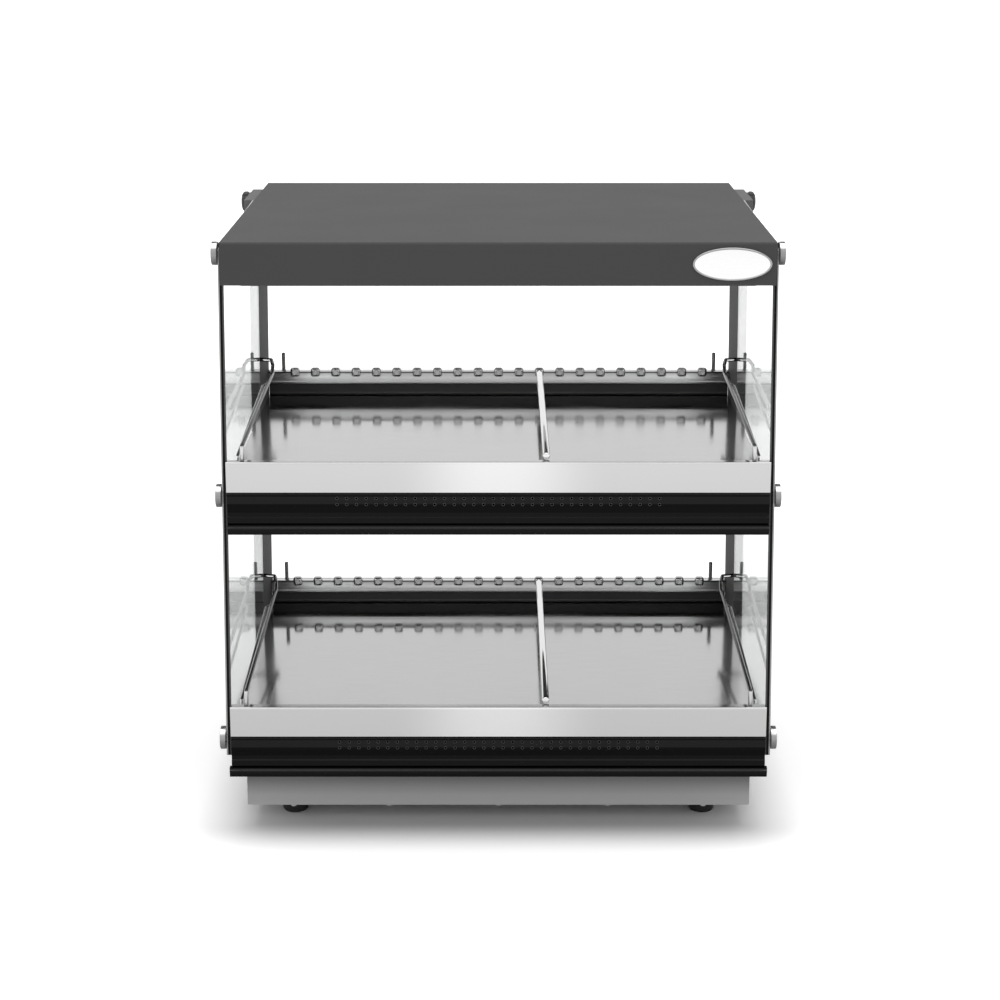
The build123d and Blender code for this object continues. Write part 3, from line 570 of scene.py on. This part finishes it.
def roundedPath(points, bend, parts=8):
    points = [Vector(point) for point in points]
    line = [points[0]]
    for before, corner, after in zip(points, points[1:], points[2:]):
        back, onward = (before - corner).normalized(), (after - corner).normalized()
        half = back.angle(onward) / 2
        cut = bend / math.tan(half)
        centre = corner + (back + onward).normalized() * bend / math.sin(half)
        start, end = corner + back * cut - centre, corner + onward * cut - centre
        line += [centre + start.slerp(end, part / parts) for part in range(parts + 1)]
    return line + [points[-1]]


# a round wire along a line; tip is the share of the radius that its ends taper by
def wire(bm, line, radius, tip=0.35, steps=16):
    along = (line[1] - line[0]).normalized()
    final = (line[-1] - line[-2]).normalized()
    stations = [(line[0], radius * (1 - tip)), (line[0] + along * radius * tip, radius)]
    stations += [(point, radius) for point in line[1:-1]]
    stations += [(line[-1] - final * radius * tip, radius), (line[-1], radius * (1 - tip))]
    places = [place for place, size in stations]
    side = along.orthogonal().normalized()
    loops = []
    for index, (place, size) in enumerate(stations):
        before, after = places[max(index - 1, 0)], places[min(index + 1, len(places) - 1)]
        heading = (after - before).normalized()
        side = (side - heading * side.dot(heading)).normalized()
        loops.append(addLoop(bm, circle(place, side, heading.cross(side), size, steps)))
    skinned(bm, loops)


def curveMesh(data):
    holder = bpy.data.objects.new(data.name, data)
    scene.collection.objects.link(holder)
    bpy.context.view_layer.update()
    shape = bpy.data.meshes.new_from_object(holder.evaluated_get(bpy.context.evaluated_depsgraph_get()))
    bpy.data.objects.remove(holder)
    bm = bmesh.new()
    bm.from_mesh(shape)
    return bm


# side panes whose edge faces carry painted bands: pale and mid-grey painted highlights round a dark core of
# painted shade
pane = {
    "depth": 329.2, "bottom": 91.5, "top": 650.2, "setback": 8.0, "corner": 8.0, "bevel": 0.4,
    "hole": 9.0, "holeSteps": 32, "capSetback": 15.0, "capHeights": (637.5, 380.5, 115.5),
    "weld": 0.001, "flatNormal": 0.99,
}


def fixingPlaces():
    return [(leanY(z) + pane["setback"] + pane["capSetback"], z) for z in pane["capHeights"]]


def paneOutline():
    low, high = pane["bottom"], pane["top"]
    yLow, yHigh = leanY(low) + pane["setback"], leanY(high) + pane["setback"]
    rear = [Vector((yLow + pane["depth"], low, 0)), Vector((yHigh + pane["depth"], high, 0))]
    front = [Vector((yHigh, high, 0)), Vector((yLow, low, 0))]
    rounded = roundedPath([rear[1], front[0], front[1], rear[0]], pane["corner"])
    return [rear[1]] + rounded[1:-1] + [rear[0]]


def addSpline(data, points):
    spline = data.splines.new("POLY")
    spline.points.add(len(points) - 1)
    for point, place in zip(spline.points, points):
        point.co = (place[0], place[1], 0, 1)
    spline.use_cyclic_u = True


def paneMesh():
    data = bpy.data.curves.new("paneCurve", "CURVE")
    data.dimensions = "2D"
    data.fill_mode = "BOTH"
    data.extrude = (paneOut - paneIn) / 2 - pane["bevel"]
    data.bevel_depth = pane["bevel"]
    data.bevel_resolution = 2
    data.offset = -pane["bevel"]
    addSpline(data, paneOutline())
    radius = pane["hole"] / 2
    for y, z in fixingPlaces():
        turns = turnsOf(pane["holeSteps"])
        addSpline(data, [(y + math.cos(turn) * radius, z + math.sin(turn) * radius) for turn in turns])
    return curveMesh(data)


def addPane(side, sign):
    bm = paneMesh()
    middle = (paneIn + paneOut) / 2
    for vert in bm.verts:
        y, z, depth = vert.co
        vert.co = (sign * (middle + depth), y, z)
    bmesh.ops.remove_doubles(bm, verts=bm.verts, dist=pane["weld"])
    bmesh.ops.recalc_face_normals(bm, faces=bm.faces)
    for face in bm.faces:
        face.material_index = 0 if abs(face.normal.x) > pane["flatNormal"] else 1
    looks = [finishes["clear_glass"], glassEdgeLightBands]
    piece = addPiece("pane_" + side, bm, looks, ["side_glass_" + side], angle=20)
    for face in piece.data.polygons:
        face.use_smooth = face.material_index == 1


for side, sign in sides.items():
    addPane(side, sign)


# caps on the panes' studs
cap = {
    "start": 294.6, "steps": 64,
    "profile": ((0, 12.0), (0.3, 12.3), (0.7, 12.4), (1.1, 12.4), (1.3, 12.5), (5.5, 12.5), (5.8, 12.44),
                (6.05, 12.25), (6.2, 11.9), (6.2, 10.5), (6.2, 7.5), (6.15, 5.2), (5.95, 4.9), (5.95, 1.0)),
}


def addCaps():
    bm = bmesh.new()
    for sign in sides.values():
        for y, z in fixingPlaces():
            turned(bm, cap["profile"], (sign * cap["start"], y, z), (sign, 0, 0), cap["steps"])
    addPiece("pane_caps", bm, [capMetal], ["standoff_caps"], angle=30)


addCaps()


# fluted knobs on the rear posts; profile: along, share of the radius, share of the flutes' depth
knob = {
    "radius": 12.5, "start": 304.9, "setback": 421.0, "height": 637.5,
    "flutes": 8, "fluteDepth": 1.5, "steps": 96,
    "profile": ((0.0, 0.86, 0), (0.3, 0.9, 0), (2.6, 0.9, 0), (2.9, 0.95, 0.35), (3.4, 1.0, 1), (7.2, 1.0, 1),
                (8.3, 0.97, 0.9), (9.3, 0.9, 0.7), (10.3, 0.78, 0.4), (10.9, 0.66, 0.12), (11.2, 0.58, 0),
                (11.2, 0.4, 0), (10.7, 0.34, 0), (10.7, 0.1, 0)),
}


def addKnob(side, sign):
    bm = bmesh.new()
    y, z = leanY(knob["height"]) + knob["setback"], knob["height"]
    loops = []
    for along, share, bite in knob["profile"]:
        places = []
        for turn in turnsOf(knob["steps"]):
            flute = max(0.0, math.cos(turn * knob["flutes"])) ** 2
            reach = knob["radius"] * share - bite * knob["fluteDepth"] * flute
            x = sign * (knob["start"] + along)
            places.append((x, y + math.cos(turn) * reach, z + math.sin(turn) * reach))
        loops.append(addLoop(bm, places))
    skinned(bm, loops)
    addPiece("clamp_knob_" + side, bm, [finishes["knob_plastic"]], ["rear_knob_" + side],
             side + "_knob", 40)


for side, sign in sides.items():
    addKnob(side, sign)
print("display case: glass and fixings ready")


# racks of both shelves: a rail with a ridge along its front, and a row of rounded square sockets
rack = {
    "halfLength": 287.7, "top": 5.0, "height": 15.5, "depth": 10.0, "bevel": 0.9,
    "ridgeHalf": 287.2, "ridgeOut": 0.6, "ridgeIn": 0.5, "ridgeLow": 2.2, "ridgeHigh": 3.4,
    "ridgeBevel": 0.25, "count": 21, "pitch": 25.4, "socket": 11.5, "socketLength": 9.0, "socketBevel": 3.2,
    "proud": 4.0, "hole": ((-0.1, 3.5), (-0.1, 3.1), (0.3, 3.0), (0.3, 0.4)), "holeSteps": 24,
}
fold = {"gap": 0.1, "drop": 26.5, "radius": 3.2, "parts": 6, "halfLength": 287.0}
pin = {
    "x": 268.4, "steps": 24,
    "profile": ((0.0, 2.75), (0.5, 2.75), (0.7, 2.25), (22.1, 2.25), (22.7, 1.8), (23.0, 0.9)),
}
# the rod's nose is measured from its front end, its tail from the socket
rod = {
    "x": 50.8, "radius": 4.0, "lift": 0.3, "setback": 9.0, "gap": 0.3, "steps": 40,
    "nose": ((0.0, 2.4), (0.15, 2.9), (0.5, 3.45), (1.0, 3.8), (1.7, 4.0)),
    "tail": ((-0.5, 4.0), (0.0, 3.6), (0.0, 3.0), (7.0, 3.0), (7.3, 2.6)),
}


def rodLevel(top):
    return top + rod["lift"] + rod["radius"]


def addRack(shelf, top):
    bm = bmesh.new()
    y = leanY(top) + shelfDepth
    front, high = y - rack["depth"], top + rack["top"]
    low = high - rack["height"]
    length, ridge = rack["halfLength"], rack["ridgeHalf"]
    roundedBlock(bm, (-length, front, low), (length, y, high), rack["bevel"], segments=2)
    roundedBlock(bm, (-ridge, front - rack["ridgeOut"], low + rack["ridgeLow"]),
                 (ridge, front + rack["ridgeIn"], low + rack["ridgeHigh"]), rack["ridgeBevel"], segments=1)
    level, half, near = rodLevel(top), rack["socket"] / 2, front - rack["proud"]
    for index in range(rack["count"]):
        x = (index - (rack["count"] - 1) / 2) * rack["pitch"]
        far = near + rack["socketLength"]
        roundedBlock(bm, (x - half, near, level - half), (x + half, far, level + half), rack["socketBevel"],
                     segments=6, slot=1)
        turned(bm, rack["hole"], (x, near, level), (0, 1, 0), rack["holeSteps"], slot=1)
    addPiece(shelf + "_rack_rail", bm, [railMetals[shelf], socketMetal],
             [shelf + "_rear_rack"], angle=40)


# the rounded corner between a tray's floor and its rear wall
def addFold(shelf, top):
    bm = bmesh.new()
    rear, floor, radius = leanY(top) + shelfDepth - fold["gap"], top - fold["drop"], fold["radius"]
    turns = [math.radians(90 * part / fold["parts"]) for part in range(fold["parts"] + 1)]
    section = [(rear - radius + radius * math.sin(turn), floor + radius - radius * math.cos(turn))
               for turn in turns] + [(rear, floor)]
    ends = (-fold["halfLength"], fold["halfLength"])
    skinned(bm, [addLoop(bm, [(x, y, z) for y, z in section]) for x in ends])
    addPiece(shelf + "_tray_fold", bm, [foldSteel], angle=30)


def addPins():
    bm = bmesh.new()
    for top in lipTops.values():
        y = leanY(top) + shelfDepth - rack["depth"] / 2
        for sign in sides.values():
            turned(bm, pin["profile"], (sign * pin["x"], y, top + rack["top"]), (0, 0, 1), pin["steps"])
    addPiece("rack_end_pins", bm, [darkWire], ["rack_pins"])


def addRod(shelf, top):
    bm = bmesh.new()
    start = leanY(top) + rod["setback"]
    length = shelfDepth - rack["depth"] - rack["proud"] - rod["gap"] - rod["setback"]
    profile = list(rod["nose"]) + [(length + along, radius) for along, radius in rod["tail"]]
    turned(bm, profile, (rod["x"], start, rodLevel(top)), (0, 1, 0), rod["steps"])
    name = shelf + "_divider"
    addPiece(name + "_bar", bm, [finishes["chrome_wire"]], [name + "_rod"], name)


# side guards: a heavy wire that hooks over to the post, and a thin one beside it
guard = {
    "x": 270.9, "radius": 2.3, "foot": 7.0, "rise": 18.5, "tilt": 3.8, "hook": 14.8, "gap": 16.0, "seat": 4.5,
    "bend": 4.0, "tip": 0.1, "sideX": 279.5, "sideRadius": 1.8, "sideFoot": 17.0, "sideFootX": 277.0,
    "sideDrop": 27.0, "sideRise": 5.0, "sideGap": 55.0, "sideRun": 12.0,
}


def addGuards(shelf, top):
    bm = bmesh.new()
    y = leanY(top)
    high = top + guard["rise"]
    rearHigh = high + guard["tilt"]
    hookTop = rearHigh + guard["hook"]
    hookY = leanY(rearHigh) + postSetback - guard["gap"]
    seatY = leanY(hookTop) + postSetback + guard["seat"]
    legY, turnY = y + guard["sideFoot"], hookY - guard["sideGap"]
    for sign in sides.values():
        x, legX = sign * guard["x"], sign * guard["sideFootX"]
        heavy = [(x, y + guard["foot"], top), (x, y + guard["foot"], high), (x, hookY, rearHigh),
                 (x, hookY, hookTop), (x, seatY, hookTop), (sign * paneIn, seatY, hookTop)]
        thin = [(legX, legY, top - guard["sideDrop"]), (legX, legY, top + guard["sideRise"]),
                (sign * guard["sideX"], turnY, rearHigh), (x, turnY + guard["sideRun"], rearHigh)]
        wire(bm, roundedPath(heavy, guard["bend"]), guard["radius"], guard["tip"])
        wire(bm, roundedPath(thin, guard["bend"]), guard["sideRadius"])
    addPiece(shelf + "_guard_wires", bm, [guardWire], [shelf + "_side_guards"], angle=50)


for shelf, top in lipTops.items():
    addRack(shelf, top)
    addFold(shelf, top)
    addRod(shelf, top)
    addGuards(shelf, top)
addPins()
print("display case: racks and wires ready")


# thin rims around the front channels' vent holes, their pale grey a painted highlight on the holes' edges;
# rows: drop below the channel's top, setback
vent = {
    "count": 34, "pitch": 10.36, "channelDrop": 33.0, "rows": ((7.0, 2.07), (13.4, 1.19)), "steps": 20,
    "section": ((0.5, 1.2), (0.5, 1.75), (0.0, 1.75), (-0.28, 1.6), (-0.28, 1.32), (0.0, 1.2)),
}


def addVentRim(bm, x, y, z):
    loops = []
    for along, radius in vent["section"]:
        turns = turnsOf(vent["steps"])
        places = [(x + math.cos(turn) * radius, y + along, z + math.sin(turn) * radius) for turn in turns]
        loops.append(addLoop(bm, places))
    skinned(bm, loops + loops[:1], capped=False)


def addVentRims(shelf, top):
    bm = bmesh.new()
    for drop, setback in vent["rows"]:
        for index in range(vent["count"]):
            x = (index - (vent["count"] - 1) / 2) * vent["pitch"]
            addVentRim(bm, x, leanY(top) + setback, top - vent["channelDrop"] - drop)
    addPiece(shelf + "_vent_rims", bm, [ventRim], angle=40)


for shelf, top in lipTops.items():
    addVentRims(shelf, top)


# feet and the plinth's screws; heights are from the floor and from the plinth's foot
foot = {
    "radius": 14.5, "steps": 56,
    "profile": ((0.9, 4.0), (0.9, 9.6), (0.0, 10.4), (0.0, 12.4), (0.4, 13.2), (1.6, 13.8), (3.0, 14.1),
                (17.0, 14.5), (22.5, 14.5), (24.2, 14.3), (25.0, 13.6)),
}
screw = {
    "places": (-227.0, -121.0, 0.0, 121.0, 227.0), "steps": 28,
    "profile": ((7.4, 1.7), (0.0, 1.8), (0.0, 3.5), (-2.4, 3.5), (-3.3, 3.2), (-3.85, 2.5), (-4.15, 1.5),
                (-4.2, 1.35), (-3.5, 1.2), (-3.5, 0.3)),
}


def addFeet():
    bm = bmesh.new()
    low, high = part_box("rubber_feet")
    for x in (low.x / mm + foot["radius"], high.x / mm - foot["radius"]):
        for y in (low.y / mm + foot["radius"], high.y / mm - foot["radius"]):
            turned(bm, foot["profile"], (x, y, 0), (0, 0, 1), foot["steps"])
    addPiece("round_feet", bm, [finishes["foot_rubber"]], ["rubber_feet"], angle=30)


def addPlinthScrews():
    bm = bmesh.new()
    low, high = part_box("plinth_screws")
    y = (low.y + high.y) / 2 / mm
    for x in screw["places"]:
        turned(bm, screw["profile"], (x, y, plinthFoot), (0, 0, 1), screw["steps"])
    addPiece("base_screws", bm, [finishes["chrome_wire"]], ["plinth_screws"], angle=30)


addFeet()
addPlinthScrews()


# rear controls; a dial's skirt and front: along, radius, share of the flutes' depth
# a dial's front and a lens's bezel are measured back from the piece's outer end
dial = {
    "steps": 160, "flutes": 20, "fluteDepth": 0.7,
    "skirt": ((0.0, 6.0, 0), (0.0, 17.4, 0), (0.5, 18.0, 0), (2.2, 18.0, 0), (3.0, 17.5, 0), (3.6, 16.4, 0),
              (4.4, 13.8, 0), (5.2, 13.1, 0.3), (6.2, 13.0, 1)),
    "front": ((2.2, 12.5, 1), (0.7, 11.8, 0.5), (0, 10.6, 0), (0, 8.0, 0), (0.5, 7.4, 0), (0.5, 2.0, 0)),
    "pointerHalf": 0.6, "pointerDepth": 0.6, "pointerLow": 3.0, "pointerHigh": 9.0, "pointerBevel": 0.15,
    "marks": ("0", "30", "60", "90"), "marksRadius": 15.6, "marksOut": 3.25, "marksSize": 3.2,
}
switchWords = {"size": 2.4, "out": 0.08, "inset": 1.7, "lift": 0.06}
lens = {
    "steps": 48, "dome": 2.2, "domeSunk": 0.1, "domeAngles": range(0, 90, 10), "inset": 1.5,
    "root": ((0.0, 2.0), (0.4, 1.6)),
    "bezel": ((4.1, 1.6), (4.1, 0.3), (3.8, 0.0), (2.6, 0.0), (2.2, 0.5), (2.2, 1.5)),
}


def flatText(words, size, place, lift=0.12):
    data = bpy.data.curves.new("words", "FONT")
    data.body, data.size, data.extrude = words, size, lift
    data.align_x = data.align_y = "CENTER"
    bm = curveMesh(data)
    for vert in bm.verts:
        across, up, out = vert.co
        vert.co = (place[0] - across, place[1] + out, place[2] + up)
    return bm


def joined(bm, other, slot):
    before = len(bm.faces)
    shape = bpy.data.meshes.new("joined")
    other.to_mesh(shape)
    other.free()
    bm.from_mesh(shape)
    bpy.data.meshes.remove(shape)
    bm.faces.ensure_lookup_table()
    for face in bm.faces[before:]:
        face.material_index = slot


def addDial(shelf):
    low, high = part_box(shelf + "_thermostat_dial")
    x, z, start = (low.x + high.x) / 2 / mm, (low.z + high.z) / 2 / mm, low.y / mm
    depth = (high.y - low.y) / mm
    profile = dial["skirt"] + tuple((depth - back, radius, bite) for back, radius, bite in dial["front"])
    bm = bmesh.new()
    loops = []
    for along, radius, bite in profile:
        places = []
        for turn in turnsOf(dial["steps"]):
            reach = radius - bite * dial["fluteDepth"] * max(0.0, math.cos(turn * dial["flutes"]))
            places.append((x + math.cos(turn) * reach, start + along, z + math.sin(turn) * reach))
        loops.append(addLoop(bm, places))
    skinned(bm, loops)
    half, front = dial["pointerHalf"], start + depth
    roundedBlock(bm, (x - half, front - dial["pointerDepth"], z + dial["pointerLow"]),
                 (x + half, front, z + dial["pointerHigh"]), dial["pointerBevel"], segments=1, slot=1)
    for number, words in enumerate(dial["marks"]):
        turn, radius = math.radians(90 + 90 * number), dial["marksRadius"]
        place = (x + math.cos(turn) * radius, start + dial["marksOut"], z + math.sin(turn) * radius)
        joined(bm, flatText(words, dial["marksSize"], place), 1)
    name = shelf + "_dial"
    addPiece(name + "_grip", bm, [finishes["knob_plastic"], markWhite],
             [shelf + "_thermostat_dial"], name, 40)


def addSwitchWords(shelf):
    low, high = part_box(shelf + "_switch_body")
    x, y = (low.x + high.x) / 2 / mm, high.y / mm + switchWords["out"]
    bm = bmesh.new()
    for words, z in (("ON", high.z / mm - switchWords["inset"]), ("OFF", low.z / mm + switchWords["inset"])):
        joined(bm, flatText(words, switchWords["size"], (x, y, z), switchWords["lift"]), 0)
    addPiece(shelf + "_switch_words", bm, [markWhite], angle=30)


def addPilotLens(shelf):
    low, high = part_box(shelf + "_pilot_lamp")
    x, z, start = (low.x + high.x) / 2 / mm, (low.z + high.z) / 2 / mm, low.y / mm
    radius, depth = (high.x - low.x) / 2 / mm, (high.y - low.y) / mm
    bm = bmesh.new()
    body = [(along, radius - inset) for along, inset in lens["root"]]
    body += [(depth - back, radius - inset) for back, inset in lens["bezel"]]
    turned(bm, body, (x, start, z), (0, 1, 0), lens["steps"], slot=1)
    wide, rim = radius - lens["inset"], depth - lens["dome"]
    turns = [math.radians(angle) for angle in lens["domeAngles"]]
    dome = [(rim + lens["dome"] * math.sin(turn), wide * math.cos(turn)) for turn in turns]
    turned(bm, [(rim - lens["domeSunk"], wide)] + dome, (x, start, z), (0, 1, 0), lens["steps"])
    addPiece(shelf + "_pilot_lens", bm, [finishes["pilot_red"], finishes["knob_plastic"]],
             [shelf + "_pilot_lamp"])


for shelf in lipTops:
    addDial(shelf)
    addSwitchWords(shelf)
    addPilotLens(shelf)


# blank oval badge: metal rim, pale enamel face; profile: inset from the outline, height over the back
badge = {
    "halfWidth": 41.5, "halfHeight": 17.5, "steps": 96,
    "profile": ((0.0, 0.0), (0.0, 1.5), (0.35, 1.9), (0.9, 2.0), (1.5, 1.9), (1.9, 1.5), (2.1, 1.25),
                (3.4, 1.35)),
}


def addBadge():
    low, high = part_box("badge_plate")
    x, z = (low.x + high.x) / 2 / mm, (low.z + high.z) / 2 / mm
    back = high.y / mm
    bm = bmesh.new()
    loops = []
    for inset, depth in badge["profile"]:
        across, up = badge["halfWidth"] - inset, badge["halfHeight"] - inset
        turns = turnsOf(badge["steps"])
        places = [(x + across * math.cos(turn), back - depth, z + up * math.sin(turn)) for turn in turns]
        loops.append(addLoop(bm, places))
    skinned(bm, loops, lastSlot=1)
    addPiece("oval_badge", bm, [finishes["badge_metal"], badgeEnamel], ["badge_plate"])


addBadge()
print("display case: small parts ready")
